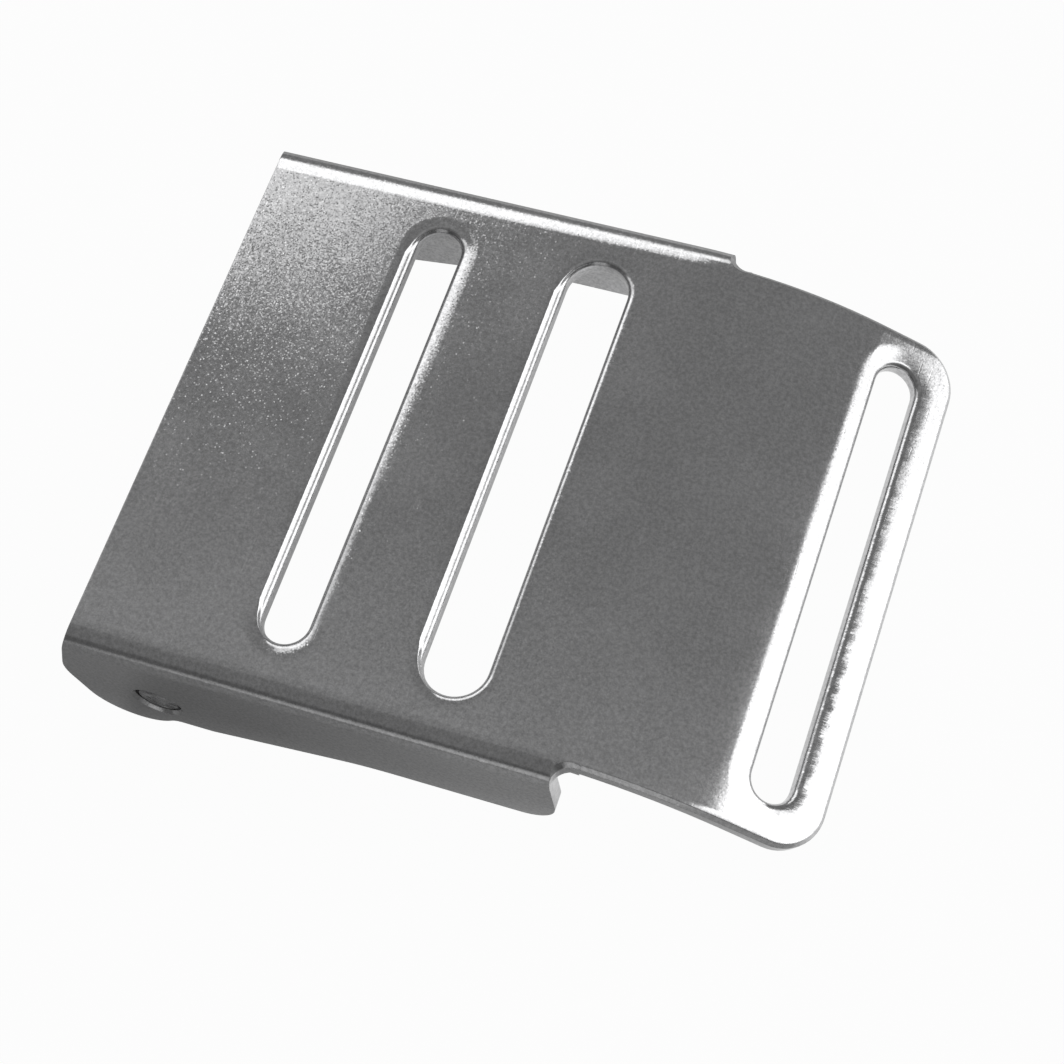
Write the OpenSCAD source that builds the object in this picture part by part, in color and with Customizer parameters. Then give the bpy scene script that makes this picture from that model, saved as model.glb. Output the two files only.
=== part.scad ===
// Strapping buckle: one folded steel sheet with three webbing slots, and a cross pin between its ears.
// The sheet is drawn with its flat top face at Z = 0, its pin end at X = 0 and the tongue towards +X.
// The module rest() then lays the finished buckle down on its two ears and the end of its tongue.

/* [Sheet] */
// Thickness of the steel sheet
sheet = 2; // [1.5:0.1:2.5]
// Inside radius of the two side bends
bend_inner_r = 0.2; // [0.1:0.05:0.5]
// Bevel that breaks the sheet's edges round the tongue
edge_bevel = 0.4; // [0.2:0.05:0.6]

/* [Webbing] */
// Width of the webbing that the slots take
webbing = 50; // [38:1:60]
// From the edge of the webbing to the outside of a flange
side_margin = 6.5; // [5.5:0.1:9]

/* [Slots] */
// Clear width of the slot nearest the pin
slot_1_w = 5; // [4:0.1:7]
// Clear width of the middle slot
slot_2_w = 6.8; // [4:0.1:8]
// Clear width of the slot in the tongue
slot_3_w = 4.7; // [4:0.1:7]
// How much longer than the webbing the slot nearest the pin is
slot_1_play = 0.4; // [0.2:0.1:1.6]
// How much longer than the webbing the middle slot is
slot_2_play = 1.4; // [0.2:0.1:1.6]
// How much longer than the webbing the slot in the tongue is
slot_3_play = 0.4; // [0.2:0.1:1.6]
// Rounding of the slots' lips, on both faces of the sheet
lip_r = 0.65; // [0.2:0.05:0.7]

/* [Bars between the slots] */
// From the pin end of the plate to the first slot
bar_1 = 18.8; // [16:0.1:26]
// Between the first slot and the middle slot
bar_2 = 12.25; // [8:0.05:20]
// From the middle slot to the line where the sheet starts to curve down
bar_3 = 5.9; // [5:0.05:10]
// From the end of that curve to the tongue's slot
bar_4 = 0.9; // [0.8:0.1:10]
// From the tongue's slot to the end of the tongue
bar_5 = 3.9; // [3:0.1:7]

/* [Tongue] */
// Radius of the tongue's curve, on the top face
tongue_r = 46.9; // [40:0.1:60]
// Angle that the tongue is bent down by
tongue_turn = 26; // [20:0.5:32]
// How far the tongue's side lies inside the outside of a flange
tongue_inset = 2.25; // [2.25:0.05:4]
// Radius of the tongue's two outer corners
tongue_corner_r = 5; // [3:0.1:7]

/* [Flanges] */
// How far the flanges run past the start of the curve
flange_over = 3.35; // [1:0.05:3.8]
// Depth of the flanges, below the plate's top face
flange_depth = 11.9; // [9:0.1:16]
// Radius of the flanges' lower corner, next to the tongue
flange_corner_r = 4; // [1:0.1:5]
// Radius of the corner that is cut between a flange and the tongue
notch_r = 2.1; // [1.2:0.1:2.1]

/* [Ears] */
// How far the ears reach out beyond the pin end of the plate
ear_overhang = 2.05; // [0.5:0.05:3]
// Radius of the upper round of an ear
ear_upper_r = 6.5; // [6:0.1:8]
// Radius of the lower round of an ear
ear_lower_r = 5.4; // [4.5:0.1:6]
// Height from the lower round's centre to the upper round's centre
ear_rise = 3.9; // [3:0.1:6]
// How far the flange's shoulder beside the ear lies below the flange's lower edge
shoulder_drop = 3.3; // [2:0.1:5]
// How far the ear reaches below that shoulder
ear_step = 2.05; // [1:0.05:3]
// From the pin end of the plate to the end of the shoulder
shoulder_x = 13.2; // [12:0.1:16]
// Length of the taper from the shoulder to the straight lower edge
taper_len = 17.8; // [10:0.1:20]
// Radius of the hollow where the ear meets the shoulder
ear_fillet_r = 2; // [1:0.1:2.5]
// Radius of the hollow where the taper meets the straight lower edge
taper_fillet_r = 34; // [10:1:40]

/* [Pin] */
// Diameter of the cross pin
pin_d = 5; // [4:0.1:6]
// From the pin end of the plate to the pin's axis
pin_x = 7.8; // [6.5:0.1:9]
// Height of the pin's axis above the lowest point of the ears
pin_rise = 6.4; // [5.5:0.1:8]
// Gap between the pin and the wall of its hole
pin_gap = 0.02; // [0.01:0.01:0.1]
// How far the pin's ends lie inside the outside of the ears
pin_recess = 0.35; // [0.1:0.05:0.8]
// Bevel of the pin's ends and of the rims of its holes
rim_bevel = 0.35; // [0.1:0.05:0.5]

/* [Hidden] */
$fn = 96;
clear = 1;
notch_lead = 0.2;
bite = 0.02;
steel = [0.62, 0.63, 0.64];
pin_steel = [0.7, 0.7, 0.71];

width = webbing + 2 * side_margin;
tongue_w = width - 2 * tongue_inset;
bend_r = bend_inner_r + sheet;

slot_1_x = bar_1 + slot_1_w / 2;
slot_2_x = bar_1 + slot_1_w + bar_2 + slot_2_w / 2;
curve_x = slot_2_x + slot_2_w / 2 + bar_3;
slot_3_x = bar_4 + slot_3_w / 2;
tip_len = bar_4 + slot_3_w + bar_5;

shoulder_depth = flange_depth + shoulder_drop;
ear_depth = shoulder_depth + ear_step;
ear_x = ear_upper_r - ear_overhang;
ear_low = [ear_x, ear_lower_r - ear_depth];
ear_high = ear_low + [0, ear_rise];
pin_at = [pin_x, pin_rise - ear_depth];
hole_d = pin_d + 2 * pin_gap;

flange_x = curve_x + flange_over;
notch_x = flange_x + notch_r;
notch_y = tongue_w / 2 + notch_r;
flange_turn = asin((flange_over + clear) / (tongue_r - ear_depth));
notch_turn = asin((flange_over + notch_r + notch_lead) / (tongue_r - sheet));

// The buckle lies on the round of its ears and on the lower edge of its tongue's end.
heel = on_tip([tip_len - edge_bevel, -sheet]);
toe = on_tip([tip_len, -edge_bevel]);
heel_span = heel - ear_low;
rest_turn = atan2(heel_span.y, heel_span.x) + asin(ear_lower_r / norm(heel_span));
rest_low = turned(ear_low).y - ear_lower_r;
rest_mid = (turned(ear_high).x - ear_upper_r + turned(toe).x) / 2;

// A point of the tongue's flat tip in the sheet's side view, from its place along the tip and its height
function on_tip(p) = [
    curve_x + (tongue_r + p.y) * sin(tongue_turn) + p.x * cos(tongue_turn),
    (tongue_r + p.y) * cos(tongue_turn) - p.x * sin(tongue_turn) - tongue_r
];
// A point of the sheet's side view, turned to lie as the buckle rests
function turned(p) = [p.x * cos(rest_turn) + p.y * sin(rest_turn), p.y * cos(rest_turn) - p.x * sin(rest_turn)];
// A point at an angle on a round, with the angle measured from +X
function on_round(centre, r, a) = centre + r * [cos(a), sin(a)];

module rest() {
    translate([-rest_mid, 0, -rest_low]) rotate([0, rest_turn, 0]) children();
}

// A side view, drawn in X and Z, made as thick as the buckle is wide
module across(w = width + 2 * clear) {
    rotate([90, 0, 0]) linear_extrude(w, center = true) children();
}

// A section, drawn in Y and Z, run along X
module along(x0, x1) {
    translate([x0, 0, 0]) rotate([90, 0, 90]) linear_extrude(x1 - x0) children();
}

// A section, drawn in Y and Z, bent downwards along the curve, from its start to an angle
module bent_on(to) {
    translate([curve_x, 0, -tongue_r]) rotate([0, -90, 0]) rotate([-90, 0, 0])
        rotate_extrude(angle = to) translate([tongue_r, 0]) rotate([0, 0, -90]) children();
}

// The same section, bent between two angles of the curve
module bent(from, to) {
    translate([curve_x, 0, -tongue_r]) rotate([0, to - 90, 0]) rotate([90, 0, 0])
        rotate_extrude(angle = to - from) translate([tongue_r, 0]) rotate([0, 0, -90]) children();
}

// The flat tip of the tongue: X runs along it from the end of the curve, and Z is its own normal
module on_tip() {
    translate([curve_x, 0, -tongue_r]) rotate([0, tongue_turn, 0]) translate([0, 0, tongue_r]) children();
}

// What lies before the ends of the flanges
module before_tongue() {
    translate([flange_x - tongue_r, -width / 2 - clear, -tongue_r / 2]) cube([tongue_r, width + 2 * clear, tongue_r]);
}

// The same on both sides of the buckle
module both_sides() {
    children();
    mirror([0, 1, 0]) children();
}

// A block with its two upper corners rounded, from a level down to a depth
module round_top(w, depth, level, r) {
    translate([-w / 2, -depth]) square([w, depth - level - r]);
    translate([r - w / 2, -depth]) square([w - 2 * r, depth - level]);
    for (side = [-1, 1]) translate([side * (w / 2 - r), -level - r]) circle(r);
}

// Section of what is cut off an edge of the sheet, on both of its faces, at a distance from a middle line
module edge_cutter(reach) {
    for (face = [0, 1]) translate([0, -face * sheet]) mirror([0, face]) polygon([
        [reach - edge_bevel - clear, clear],
        [reach + clear, -edge_bevel - clear],
        [reach + clear, clear]
    ]);
}

// Side view of a flange: ear, shoulder, taper and straight lower edge
module flange_outline() {
    lean = asin((ear_upper_r - ear_lower_r) / ear_rise);
    corner = -ear_high;
    slant = atan2(corner.y, corner.x) + acos(ear_upper_r / norm(corner));
    fillet_z = -shoulder_depth - ear_fillet_r;
    reach = ear_lower_r + ear_fillet_r;
    ear_fillet = [ear_x + sqrt(pow(reach, 2) - pow(ear_low.y - fillet_z, 2)), fillet_z];
    fall = atan2(shoulder_drop, taper_len);
    taper_end = [shoulder_x + taper_len, -flange_depth];
    blend = taper_fillet_r * tan(fall / 2);
    taper_fillet = taper_end + [blend, -taper_fillet_r];
    flange_corner = [flange_x - flange_corner_r, flange_corner_r - flange_depth];

    translate(ear_high) circle(ear_upper_r);
    translate(ear_low) circle(ear_lower_r);
    translate(flange_corner) circle(flange_corner_r);
    difference() {
        polygon([
            [0, 0],
            on_round(ear_high, ear_upper_r, slant),
            ear_high,
            on_round(ear_high, ear_upper_r, 180 + lean),
            on_round(ear_low, ear_lower_r, 180 + lean),
            ear_low,
            ear_fillet,
            [ear_fillet.x, -shoulder_depth],
            [shoulder_x, -shoulder_depth],
            taper_end - blend * [cos(fall), sin(fall)],
            taper_fillet,
            taper_end + [blend, 0],
            [flange_corner.x, -flange_depth],
            flange_corner,
            [flange_x, flange_corner.y],
            [flange_x, 0]
        ]);
        translate(ear_fillet) circle(ear_fillet_r);
        translate(taper_fillet) circle(taper_fillet_r);
    }
}

// The cutter for a slot with round ends and rounded lips, centred on the sheet's top face
module slot_cutter(w, length) {
    run = length - w;
    rotate([90, 0, 0]) linear_extrude(run, center = true) {
        slot_flank(w);
        mirror([1, 0]) slot_flank(w);
    }
    for (side = [-1, 1]) translate([0, side * run / 2, 0]) rotate_extrude() slot_flank(w);
}

// Half of the slot's section, from its middle to one lip
module slot_flank(w) {
    translate([0, -sheet - clear]) square([w / 2, sheet + 2 * clear]);
    difference() {
        union() {
            translate([0, -lip_r]) square([w / 2 + lip_r, lip_r + clear]);
            translate([0, -sheet - clear]) square([w / 2 + lip_r, lip_r + clear]);
        }
        for (z = [-lip_r, lip_r - sheet]) translate([w / 2 + lip_r, z]) circle(lip_r);
    }
}

// Section of the sheet with a flange folded down on each side
module channel_section() {
    difference() {
        round_top(width, ear_depth + clear, 0, bend_r);
        round_top(width - 2 * sheet, ear_depth + 2 * clear, sheet, bend_inner_r);
    }
}

// The part of the sheet that has flanges: straight, and then bent on up to their ends
module folded_sheet() {
    difference() {
        intersection() {
            along(-ear_overhang - clear, curve_x) channel_section();
            across() flange_outline();
        }
        translate([-ear_overhang - clear, bend_r - width / 2, -bend_r - clear])
            cube([ear_overhang + clear, width - 2 * bend_r, bend_r + 2 * clear]);
    }
    intersection() {
        bent_on(flange_turn) channel_section();
        across() flange_outline();
    }
}

// The rest of the curve, between the flanges' ends and the tip of the tongue
module tongue_curve() {
    difference() {
        bent(0, tongue_turn) translate([-tongue_w / 2, -sheet]) square([tongue_w, sheet]);
        both_sides() bent(notch_turn, tongue_turn) edge_cutter(tongue_w / 2);
        before_tongue();
    }
}

// The round corner that is left between a flange's end and the side of the tongue
module notch_corner() {
    seat = clear / 2;
    inset = 0.03;
    intersection() {
        translate([0, 0, -sheet]) linear_extrude(sheet + clear) difference() {
            translate([flange_x - seat, tongue_w / 2 - seat]) square(notch_r + seat);
            translate([notch_x, notch_y]) circle(notch_r + bite);
        }
        bent_on(tongue_turn) round_top(width - 2 * inset, flange_depth, inset, bend_r);
    }
}

// What is cut off the upper edge of that corner
module notch_bevel() {
    low = tongue_r - sqrt(pow(tongue_r, 2) - pow(flange_over + notch_r, 2)) + edge_bevel;
    translate([notch_x, notch_y, -low]) cylinder(r1 = notch_r, r2 = notch_r + low + clear, h = low + clear);
}

// The flat tip of the tongue, with two rounded corners and a slot
module tongue_tip() {
    inner = [tip_len, tongue_w / 2] - [tongue_corner_r, tongue_corner_r];
    on_tip() difference() {
        translate([0, 0, -sheet]) linear_extrude(sheet) {
            translate([0, -tongue_w / 2]) square([inner.x, tongue_w]);
            translate([0, -inner.y]) square([tip_len, 2 * inner.y]);
            for (side = [-1, 1]) translate([inner.x, side * inner.y]) circle(tongue_corner_r);
        }
        both_sides() along(-clear, inner.x) edge_cutter(tongue_w / 2);
        across(2 * inner.y) edge_cutter(tip_len);
        both_sides() translate([inner.x, inner.y, 0]) rotate_extrude(angle = 90) edge_cutter(tongue_corner_r);
        translate([slot_3_x, 0, 0]) slot_cutter(slot_3_w, webbing + slot_3_play);
    }
}

module tongue() {
    tongue_curve();
    tongue_tip();
}

// A cylinder across the buckle, on the pin's axis
module on_pin_axis() {
    translate([pin_at.x, 0, pin_at.y]) rotate([90, 0, 0]) children();
}

// The straight part with two webbing slots and with holes for the pin in its ears
module pierced_sheet() {
    difference() {
        folded_sheet();
        translate([slot_1_x, 0, 0]) slot_cutter(slot_1_w, webbing + slot_1_play);
        translate([slot_2_x, 0, 0]) slot_cutter(slot_2_w, webbing + slot_2_play);
        on_pin_axis() {
            cylinder(d = hole_d, h = width + 2 * clear, center = true);
            for (turn = [0, 180]) rotate([turn, 0, 0]) translate([0, 0, width / 2 - rim_bevel])
                cylinder(d1 = hole_d, d2 = hole_d + 4 * rim_bevel, h = 2 * rim_bevel);
        }
    }
}

module buckle_plate() {
    color(steel) rest() difference() {
        union() {
            pierced_sheet();
            tongue();
            both_sides() notch_corner();
        }
        both_sides() notch_bevel();
    }
}

module cross_pin() {
    half = width / 2 - pin_recess;
    color(pin_steel) rest() on_pin_axis() rotate_extrude() polygon([
        [0, -half],
        [pin_d / 2 - rim_bevel, -half],
        [pin_d / 2, rim_bevel - half],
        [pin_d / 2, half - rim_bevel],
        [pin_d / 2 - rim_bevel, half],
        [0, half]
    ]);
}

buckle_plate();
cross_pin();
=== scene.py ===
"""Looks of the strapping buckle: satin stainless sheet and cross pin under soft studio light."""

import math

import bpy
from mathutils import Matrix, Vector

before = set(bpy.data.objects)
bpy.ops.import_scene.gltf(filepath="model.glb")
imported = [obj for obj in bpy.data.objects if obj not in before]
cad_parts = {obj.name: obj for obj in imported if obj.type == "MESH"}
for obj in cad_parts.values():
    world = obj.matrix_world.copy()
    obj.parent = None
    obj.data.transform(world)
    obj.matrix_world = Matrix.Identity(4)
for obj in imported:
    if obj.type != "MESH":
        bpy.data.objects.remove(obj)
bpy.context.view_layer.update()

# One millimetre, in metres
MM = 0.001

# How the flat sheet's own frame lies in the row frame: turned about Y, then moved (millimetres)
REST_TURN = math.radians(5.336149)
REST_MID = 36.832702
REST_LOW = -17.612489

# The tongue's curve, in the sheet's frame (millimetres)
CURVE_X = 48.75
TONGUE_R = 46.9
TONGUE_TURN = math.radians(26)

# The slots (millimetres): the first two along the sheet, the third along the tongue's tip. The punch
# drew the sheet in round each slot, over a width and by a depth, before the slot and beyond it, and
# by more at its lip.
SLOT_1 = {
    "at": 21.3, "width": 5.0, "length": 50.4,
    "before": (1.9, 0.1), "beyond": (2.0, 0.2), "lip": 0.32,
}
SLOT_2 = {
    "at": 39.45, "width": 6.8, "length": 51.4,
    "before": (1.4, 0.06), "beyond": (1.4, 0.06), "lip": 0.32,
}
SLOT_3 = {
    "at": 3.25, "width": 4.7, "length": 50.4,
    "before": (2.7, 0.08), "beyond": (2.1, 0.045), "lip": 0.0,
}

# A lip's slope: where it starts and ends, off the slot's edge, and where it narrows, off the end of the
# slot's straight run (millimetres), how many times narrower it gets, and the share of its depth left
LIP_SLOPE = (0.4, 1.15)
LIP_END = (-1.5, 2.4)
LIP_NARROWING = 3.0
LIP_LEFT = 0.3

# The painted shade of a darker ring round a slot: where it fades, off the slot's edge (millimetres), and
# how dark it is
PAINTED_RING_FADE = (0.3, 2.4)
RING_PAINTED_SHADE = 0.1

# The roll of the sheet into its side bends: its start and end, off the middle, and its depth (millimetres)
SIDE_ROLL = (28.2, 30.2, 0.22)

# Half the length of the cross pin, less the bevel of its ends (millimetres)
PIN_SHANK = 30.9

# The steel's grain: its size (metres), how far a grain leans, how that is shared along X, Y and Z, and
# the share of it left on the tongue
GRAIN_M = 1.5e-4
GRAIN_TILT = 0.028
GRAIN_SPREAD = (0.4, 1.3, 0.4)
TONGUE_GRAIN = 0.4

# The camera, in the sheet's own frame (millimetres)
CAMERA_AT = (96.28, -99.19, 212.18)
CAMERA_RIGHT = (0.941787, 0.320809, -0.10061)
CAMERA_DOWN = (0.247103, -0.86336, -0.439943)
CAMERA_FORWARD = (-0.228, 0.389475, -0.892372)
FOCAL_PIXELS = 2349.8
PICTURE_PIXELS = 1064
SENSOR_MM = 36.0

# Directions in the sheet's own frame, and the studio's plain level of light
UP = (0.0, 0.0, 1.0)
FAR = (0.0, 1.0, 0.0)
NEAR = (0.0, -1.0, 0.0)
PLAIN_LIGHT = 0.26

# The studio's panels: a strength, and limits that each give a direction and where the panel starts and
# is full along it
PANELS = [
    # On the right, seen in the tongue's tip and in the lips before the slots
    (2.0, [((0.7147, -0.5, -0.6992), -0.21, -0.184), (UP, -0.1, 0.0), (FAR, -0.1, 0.2)]),
    # At the far left, seen in the first bar, in the far bend and beyond the slots
    (0.85, [((-0.17, 1.0, 0.0), 0.476, 0.525), ((-1.0, 0.6, 0.0), 0.502, 0.525), (UP, 0.3, 0.5)]),
    (0.8, [((-0.8, 0.6, 0.0), 0.57, 0.64), (UP, 0.3, 0.5)]),
    # On the near side: dark high up, seen in the near bend, paler overhead and in a line low down
    (-0.13, [((-0.1, -0.85, 0.5), 0.35, 0.75), (UP, -0.1, 0.0)]),
    (0.08, [(NEAR, -0.38, -0.3), (UP, 0.5, 0.7)]),
    (0.4, [(NEAR, 0.88, 0.97), (UP, -0.1, 0.0)]),
]

# The floor: half its side (metres), and the share of it that is plain white to the camera
FLOOR_HALF = 3.0
FLOOR_WHITE = 0.97


def to_row_direction(v):
    """A direction of the sheet's frame in the row frame."""
    c, s = math.cos(REST_TURN), math.sin(REST_TURN)
    return Vector((v[0] * c + v[2] * s, v[1], v[2] * c - v[0] * s))


def to_row(p):
    """A point of the sheet's frame, in millimetres, in the row frame, in metres."""
    d = to_row_direction(p)
    return Vector((d.x - REST_MID, d.y, d.z - REST_LOW)) * MM


class Nodes:
    """Adds and links the nodes of one node tree."""

    def __init__(self, tree):
        self.tree = tree
        tree.nodes.clear()

    def add(self, kind, inputs=None, **settings):
        """A new node, with its settings and its inputs by name."""
        node = self.tree.nodes.new(kind)
        for name, value in settings.items():
            setattr(node, name, value)
        for name, value in (inputs or {}).items():
            self.put(node.inputs[name], value)
        return node

    def put(self, socket, value):
        """Link a socket to an input, or set the input to a constant."""
        if isinstance(value, bpy.types.NodeSocket):
            self.tree.links.new(value, socket)
        else:
            socket.default_value = value

    def math(self, operation, a, b=0.0, clamp=False):
        node = self.add("ShaderNodeMath", operation=operation, use_clamp=clamp)
        self.put(node.inputs[0], a)
        self.put(node.inputs[1], b)
        return node.outputs[0]

    def vector(self, operation, *values):
        node = self.add("ShaderNodeVectorMath", operation=operation)
        for socket, value in zip(node.inputs, values):
            self.put(socket, value)
        return node.outputs["Vector"]

    def ramp(self, value, low, high, to_low=0.0, to_high=1.0):
        """A soft step between two levels."""
        return self.add("ShaderNodeMapRange", {
            "Value": value, "From Min": low, "From Max": high, "To Min": to_low, "To Max": to_high,
        }, interpolation_type="SMOOTHSTEP").outputs["Result"]

    def noise(self, vector, scale, detail=2.0, roughness=0.5):
        return self.add("ShaderNodeTexNoise", {
            "Vector": vector, "Scale": scale, "Detail": detail, "Roughness": roughness,
        }).outputs["Fac"]

    def stretched(self, vector, scale, turn=(0.0, 0.0, 0.0)):
        return self.add("ShaderNodeMapping", {
            "Vector": vector, "Rotation": turn, "Scale": scale,
        }).outputs["Vector"]

    def weighted(self, parts):
        """Sum of (socket, weight) pairs."""
        total = 0.0
        for socket, weight in parts:
            total = self.math("ADD", total, self.math("MULTIPLY", socket, weight))
        return total

    def blend(self, a, b, share):
        """From a to b, as the share goes from 0 to 1."""
        return self.math("ADD", a, self.math("MULTIPLY", self.math("SUBTRACT", b, a), share))


def half_run(slot):
    """Half the length of a slot's straight sides."""
    return (slot["length"] - slot["width"]) / 2


def slot_gap(n, along_x, off_middle, slot):
    """Distance from a slot's edge, in millimetres, in the plane of the sheet."""
    dx = n.math("SUBTRACT", along_x, slot["at"])
    dy = n.math("MAXIMUM", n.math("SUBTRACT", off_middle, half_run(slot)), 0.0)
    reach = n.math("SQRT", n.math("ADD", n.math("MULTIPLY", dx, dx), n.math("MULTIPLY", dy, dy)))
    return n.math("SUBTRACT", reach, slot["width"] / 2)


def slot_lip(n, gap, off_middle, slot):
    """How deep the steep part of a slot's lip lies, in millimetres. It narrows round the slot's ends."""
    start, end = (half_run(slot) + reach for reach in LIP_END)
    narrowing = n.ramp(off_middle, start, end, 1.0, LIP_NARROWING)
    depth = n.ramp(off_middle, start, end, slot["lip"], LIP_LEFT * slot["lip"])
    return n.math("MULTIPLY", n.ramp(n.math("MULTIPLY", gap, narrowing), *LIP_SLOPE, 1.0, 0.0), depth)


def drawn_in(n, place):
    """Height, in metres, of the sheet's faces round the slots, the painted shade of a darker ring round
    each slot, and how strong its grain is.
    """
    split = n.add("ShaderNodeSeparateXYZ", {"Vector": place})
    x, y, z = (n.math("MULTIPLY", split.outputs[k], 1 / MM) for k in "XYZ")
    x = n.math("ADD", x, REST_MID)
    z = n.math("ADD", z, REST_LOW)
    c, s = math.cos(REST_TURN), math.sin(REST_TURN)
    sheet_x = n.weighted([(x, c), (z, -s)])
    sheet_z = n.weighted([(x, s), (z, c)])
    c, s = math.cos(TONGUE_TURN), math.sin(TONGUE_TURN)
    tip_x = n.weighted([
        (n.math("SUBTRACT", sheet_x, CURVE_X), c),
        (n.math("ADD", sheet_z, TONGUE_R), -s),
    ])
    off_middle = n.math("ABSOLUTE", y)

    # Beyond the tongue's slot the sheet is drawn in unevenly, and deeper towards the near side
    streaks = n.noise(n.stretched(place, (200.0, 600.0, 200.0)), 1.0, 3.0, 0.6)
    deeper = n.ramp(y, -26.0, 22.0, 2.3, 1.0)
    uneven = n.math("MULTIPLY", n.ramp(streaks, 0.3, 0.7, 0.75, 1.25), deeper)

    start, end, depth = SIDE_ROLL
    height = n.ramp(off_middle, start, end, 0.0, -MM * depth)
    shade = 0.0
    for along_x, slot in ((sheet_x, SLOT_1), (sheet_x, SLOT_2), (tip_x, SLOT_3)):
        gap = slot_gap(n, along_x, off_middle, slot)
        width, depth = slot["before"]
        before = n.math("ADD", n.ramp(gap, 0.0, width, depth, 0.0), slot_lip(n, gap, off_middle, slot))
        width, depth = slot["beyond"]
        rise = n.math("SUBTRACT", 1.0, n.math("DIVIDE", gap, width), clamp=True)
        beyond = n.math("MULTIPLY", n.math("MULTIPLY", rise, rise), depth)
        if slot is SLOT_3:
            beyond = n.math("MULTIPLY", beyond, uneven)
        side = n.ramp(along_x, slot["at"] - slot["width"] / 2, slot["at"] + slot["width"] / 2)
        sink = n.blend(before, beyond, side)
        height = n.math("SUBTRACT", height, n.math("MULTIPLY", sink, MM))
        # Painted shade: the colour darkens in a ring round each slot
        shade = n.math("SUBTRACT", shade, n.ramp(gap, *PAINTED_RING_FADE, RING_PAINTED_SHADE, 0.0))
    grain_share = n.ramp(sheet_x, CURVE_X - 4.0, CURVE_X + 6.0, 1.0, TONGUE_GRAIN)
    return height, shade, grain_share


def sawn_ends(n, place):
    """Height, in metres, and shade of the pin's rough ends, and how strong its grain is."""
    split = n.add("ShaderNodeSeparateXYZ", {"Vector": place})
    from_middle = n.math("MULTIPLY", n.math("ABSOLUTE", split.outputs["Y"]), 1 / MM)
    end = n.ramp(from_middle, PIN_SHANK, PIN_SHANK + 0.2)
    coarse = n.noise(place, 700.0, 3.0, 0.6)
    height = n.math("MULTIPLY", n.math("MULTIPLY", coarse, end), 7.0e-4)
    shade = n.math("MULTIPLY", n.ramp(coarse, 0.35, 0.65, -0.5, 0.4), end)
    return height, shade, 1.0


def leaning(n, place, normal, grain_share):
    """The normal, with each grain of the steel leaning its own way and a few of them much further."""
    cells = n.vector("SNAP", place, (GRAIN_M, GRAIN_M, GRAIN_M))
    chance = n.add("ShaderNodeTexWhiteNoise", {"Vector": cells}, noise_dimensions="3D").outputs["Color"]
    lean = n.vector("MULTIPLY_ADD", chance, GRAIN_SPREAD, tuple(-0.5 * c for c in GRAIN_SPREAD))
    blue = n.add("ShaderNodeSeparateColor", {"Color": chance}).outputs["Blue"]
    strong = n.math("ADD", n.math("MULTIPLY", n.math("POWER", blue, 4.0), 2.5), 0.6)
    strong = n.math("MULTIPLY", n.math("MULTIPLY", strong, grain_share), GRAIN_TILT)
    tilt = n.add("ShaderNodeVectorMath", {"Vector": lean, "Scale": strong}, operation="SCALE")
    return n.vector("NORMALIZE", n.vector("ADD", normal, tilt.outputs["Vector"]))


def steel(name, tint, rough, bevel_mm, marks_and_painted_shade):
    """Satin stainless steel with fine grain, light specks, random scratches and soft edges."""
    material = bpy.data.materials.new(name)
    material.use_nodes = True
    n = Nodes(material.node_tree)
    place = n.add("ShaderNodeTexCoord").outputs["Object"]

    grain = n.noise(place, 3800.0, 1.0, 0.6)
    speckle = n.noise(place, 2600.0, 4.0, 0.8)
    cloud = n.noise(place, 90.0, 3.0, 0.55)
    scratches = 0.0
    for turn in (0.4, 1.3, 2.2, 2.9):
        lines = n.noise(n.stretched(place, (2600.0, 170.0, 2600.0), (0.0, 0.0, turn)), 1.0, 1.0)
        scratches = n.math("MAXIMUM", scratches, n.ramp(lines, 0.72, 0.8))

    # The piece's own relief and tone; on the sheet this shade also holds the painted shade of the rings
    # round its slots
    height, shade, grain_share = marks_and_painted_shade(n, place)
    height = n.math("ADD", height, n.weighted([
        (grain, 1.2e-6), (scratches, -1.0e-6), (cloud, 6.0e-6),
    ]))
    shade = n.math("ADD", shade, n.weighted([
        (n.ramp(cloud, 0.3, 0.7, -1.0, 1.0), 0.05),
        (n.ramp(speckle, 0.3, 0.7, -1.0, 1.0), 0.25),
        (n.ramp(speckle, 0.66, 0.74), 0.3),
        (scratches, 0.12),
    ]))
    colour = n.add("ShaderNodeMix", data_type="RGBA")
    n.put(colour.inputs["Factor"], n.math("ADD", shade, 0.5, clamp=True))
    dark, light = (tuple(c * f for c in tint) + (1.0,) for f in (0.6, 1.4))
    n.put(colour.inputs["A"], dark)
    n.put(colour.inputs["B"], light)

    soft_edges = n.add("ShaderNodeBevel", {"Radius": bevel_mm * MM}, samples=4)
    bump = n.add("ShaderNodeBump", {
        "Strength": 1.0, "Distance": 1.0, "Height": height, "Normal": soft_edges.outputs["Normal"],
    })
    shader = n.add("ShaderNodeBsdfPrincipled", {
        "Base Color": colour.outputs["Result"],
        "Metallic": 1.0,
        "Roughness": n.ramp(cloud, 0.3, 0.7, rough - 0.02, rough + 0.02),
        "Normal": leaning(n, place, bump.outputs["Normal"], grain_share),
    })
    out = n.add("ShaderNodeOutputMaterial")
    n.put(out.inputs["Surface"], shader.outputs["BSDF"])
    return material


def dress(node, material):
    """Give a piece of the frame its material."""
    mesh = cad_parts[node].data
    mesh.materials.clear()
    mesh.materials.append(material)


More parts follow.
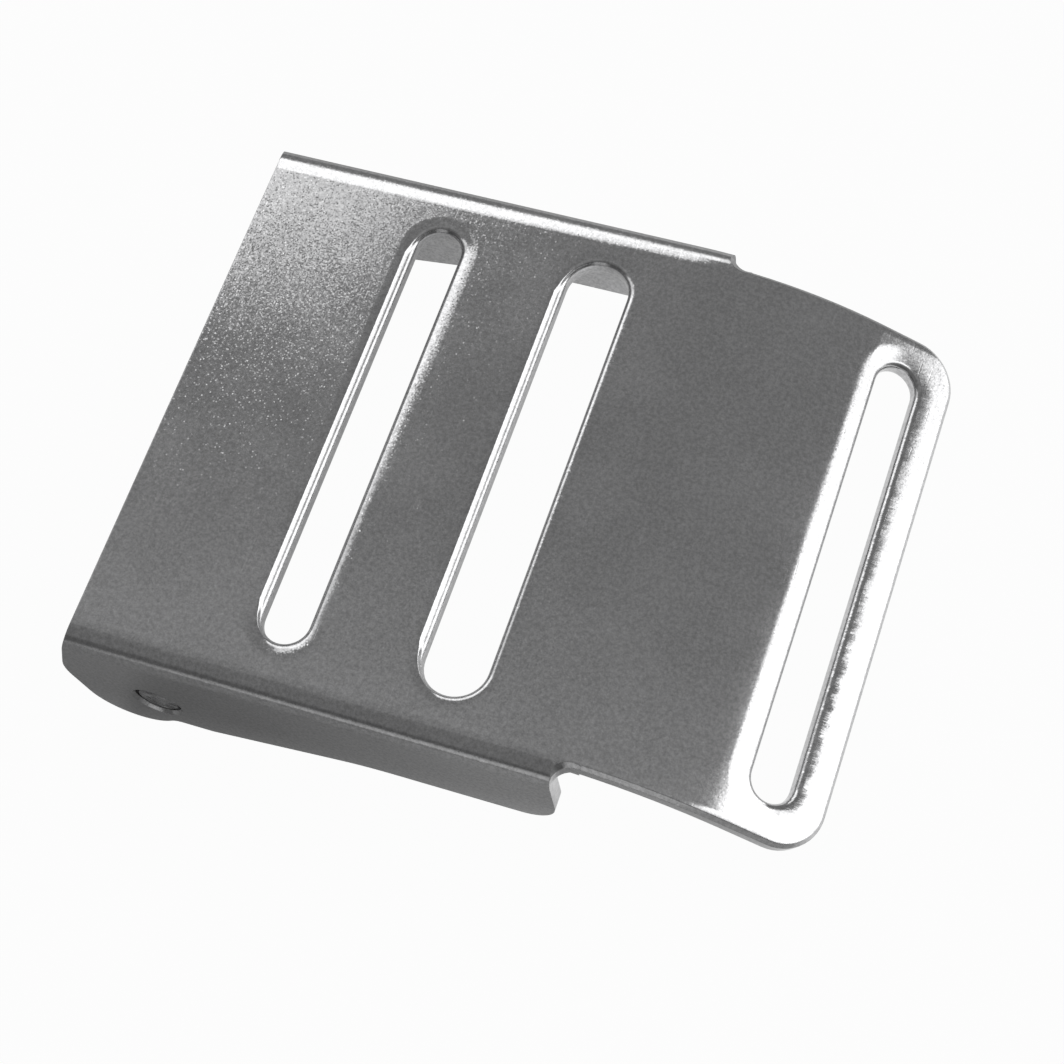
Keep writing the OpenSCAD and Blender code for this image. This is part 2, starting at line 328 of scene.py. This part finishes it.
def floor():
    """A wide floor, white to the camera. In reflections it shows painted light: white laid by place, more
    beneath the buckle towards the right, some at the far side, and a little more towards the right
    everywhere.
    """
    mesh = bpy.data.meshes.new("floor")
    corners = [(i * FLOOR_HALF, j * FLOOR_HALF, 0) for i, j in ((-1, -1), (1, -1), (1, 1), (-1, 1))]
    mesh.from_pydata(corners, [], [(0, 1, 2, 3)])
    piece = bpy.data.objects.new("floor", mesh)
    bpy.context.scene.collection.objects.link(piece)
    material = bpy.data.materials.new("floor_white")
    material.use_nodes = True
    n = Nodes(material.node_tree)
    matte = n.add("ShaderNodeBsdfDiffuse", {"Color": (0.4, 0.4, 0.4, 1.0)})
    white = n.add("ShaderNodeEmission", {"Color": (1.0, 1.0, 1.0, 1.0), "Strength": 1.0})
    split = n.add("ShaderNodeSeparateXYZ", {"Vector": n.add("ShaderNodeTexCoord").outputs["Object"]})
    x, y = split.outputs["X"], split.outputs["Y"]
    right = n.ramp(x, -0.01, 0.025, 0.3, 0.7)
    far = n.ramp(y, 0.03, 0.08, 0.0, 0.25)
    beneath = n.math("MULTIPLY", n.ramp(y, -0.034, -0.026), n.ramp(y, 0.036, 0.028))
    low = n.ramp(x, -0.045, 0.02, 0.045, 0.19)
    # Painted light: the share of white that reflections see, laid by place on the floor
    painted_light_share = n.math("ADD", n.math("MAXIMUM", n.math("MULTIPLY", right, beneath), far), low)
    path = n.add("ShaderNodeLightPath")
    seen = n.math("MULTIPLY", path.outputs["Is Camera Ray"], FLOOR_WHITE)
    mirrored = n.math("MAXIMUM", path.outputs["Is Glossy Ray"], path.outputs["Is Transmission Ray"])
    mix = n.add("ShaderNodeMixShader")
    n.put(mix.inputs["Fac"], n.math("MAXIMUM", seen, n.math("MULTIPLY", mirrored, painted_light_share)))
    n.put(mix.inputs[1], matte.outputs["BSDF"])
    n.put(mix.inputs[2], white.outputs["Emission"])
    out = n.add("ShaderNodeOutputMaterial")
    n.put(out.inputs["Surface"], mix.outputs["Shader"])
    mesh.materials.append(material)


def studio():
    """World light: a plain level, with bright or dark panels that have soft edges."""
    world = bpy.data.worlds.new("studio")
    bpy.context.scene.world = world
    world.use_nodes = True
    n = Nodes(world.node_tree)
    direction = n.add("ShaderNodeTexCoord").outputs["Generated"]
    level = PLAIN_LIGHT
    for strength, limits in PANELS:
        inside = strength
        for aim, edge, full in limits:
            dot = n.add("ShaderNodeVectorMath", operation="DOT_PRODUCT")
            n.put(dot.inputs[0], direction)
            n.put(dot.inputs[1], tuple(to_row_direction(aim).normalized()))
            inside = n.math("MULTIPLY", inside, n.ramp(dot.outputs["Value"], edge, full))
        level = n.math("ADD", level, inside)
    background = n.add("ShaderNodeBackground", {
        "Color": (1.0, 1.0, 1.0, 1.0), "Strength": n.math("MAXIMUM", level, 0.05),
    })
    out = n.add("ShaderNodeOutputWorld")
    n.put(out.inputs["Surface"], background.outputs["Background"])


def camera():
    """The camera that took the photograph, as fitted to the buckle's edges."""
    data = bpy.data.cameras.new("photo_camera")
    data.sensor_fit = "HORIZONTAL"
    data.sensor_width = SENSOR_MM
    data.lens = FOCAL_PIXELS * SENSOR_MM / PICTURE_PIXELS
    data.clip_start = 0.01
    data.clip_end = 20.0
    piece = bpy.data.objects.new("photo_camera", data)
    bpy.context.scene.collection.objects.link(piece)
    right, down, ahead = (
        to_row_direction(v).normalized() for v in (CAMERA_RIGHT, CAMERA_DOWN, CAMERA_FORWARD)
    )
    turn = Matrix((right, -down, -ahead)).transposed()
    piece.matrix_world = Matrix.Translation(to_row(CAMERA_AT)) @ turn.to_4x4()
    bpy.context.scene.camera = piece


dress("buckle_plate", steel("sheet_steel", (0.55, 0.55, 0.555), 0.1, 0.2, drawn_in))
dress("cross_pin", steel("pin_steel", (0.5, 0.5, 0.505), 0.24, 0.12, sawn_ends))
floor()
studio()
camera()
bpy.context.scene.view_settings.view_transform = "Standard"
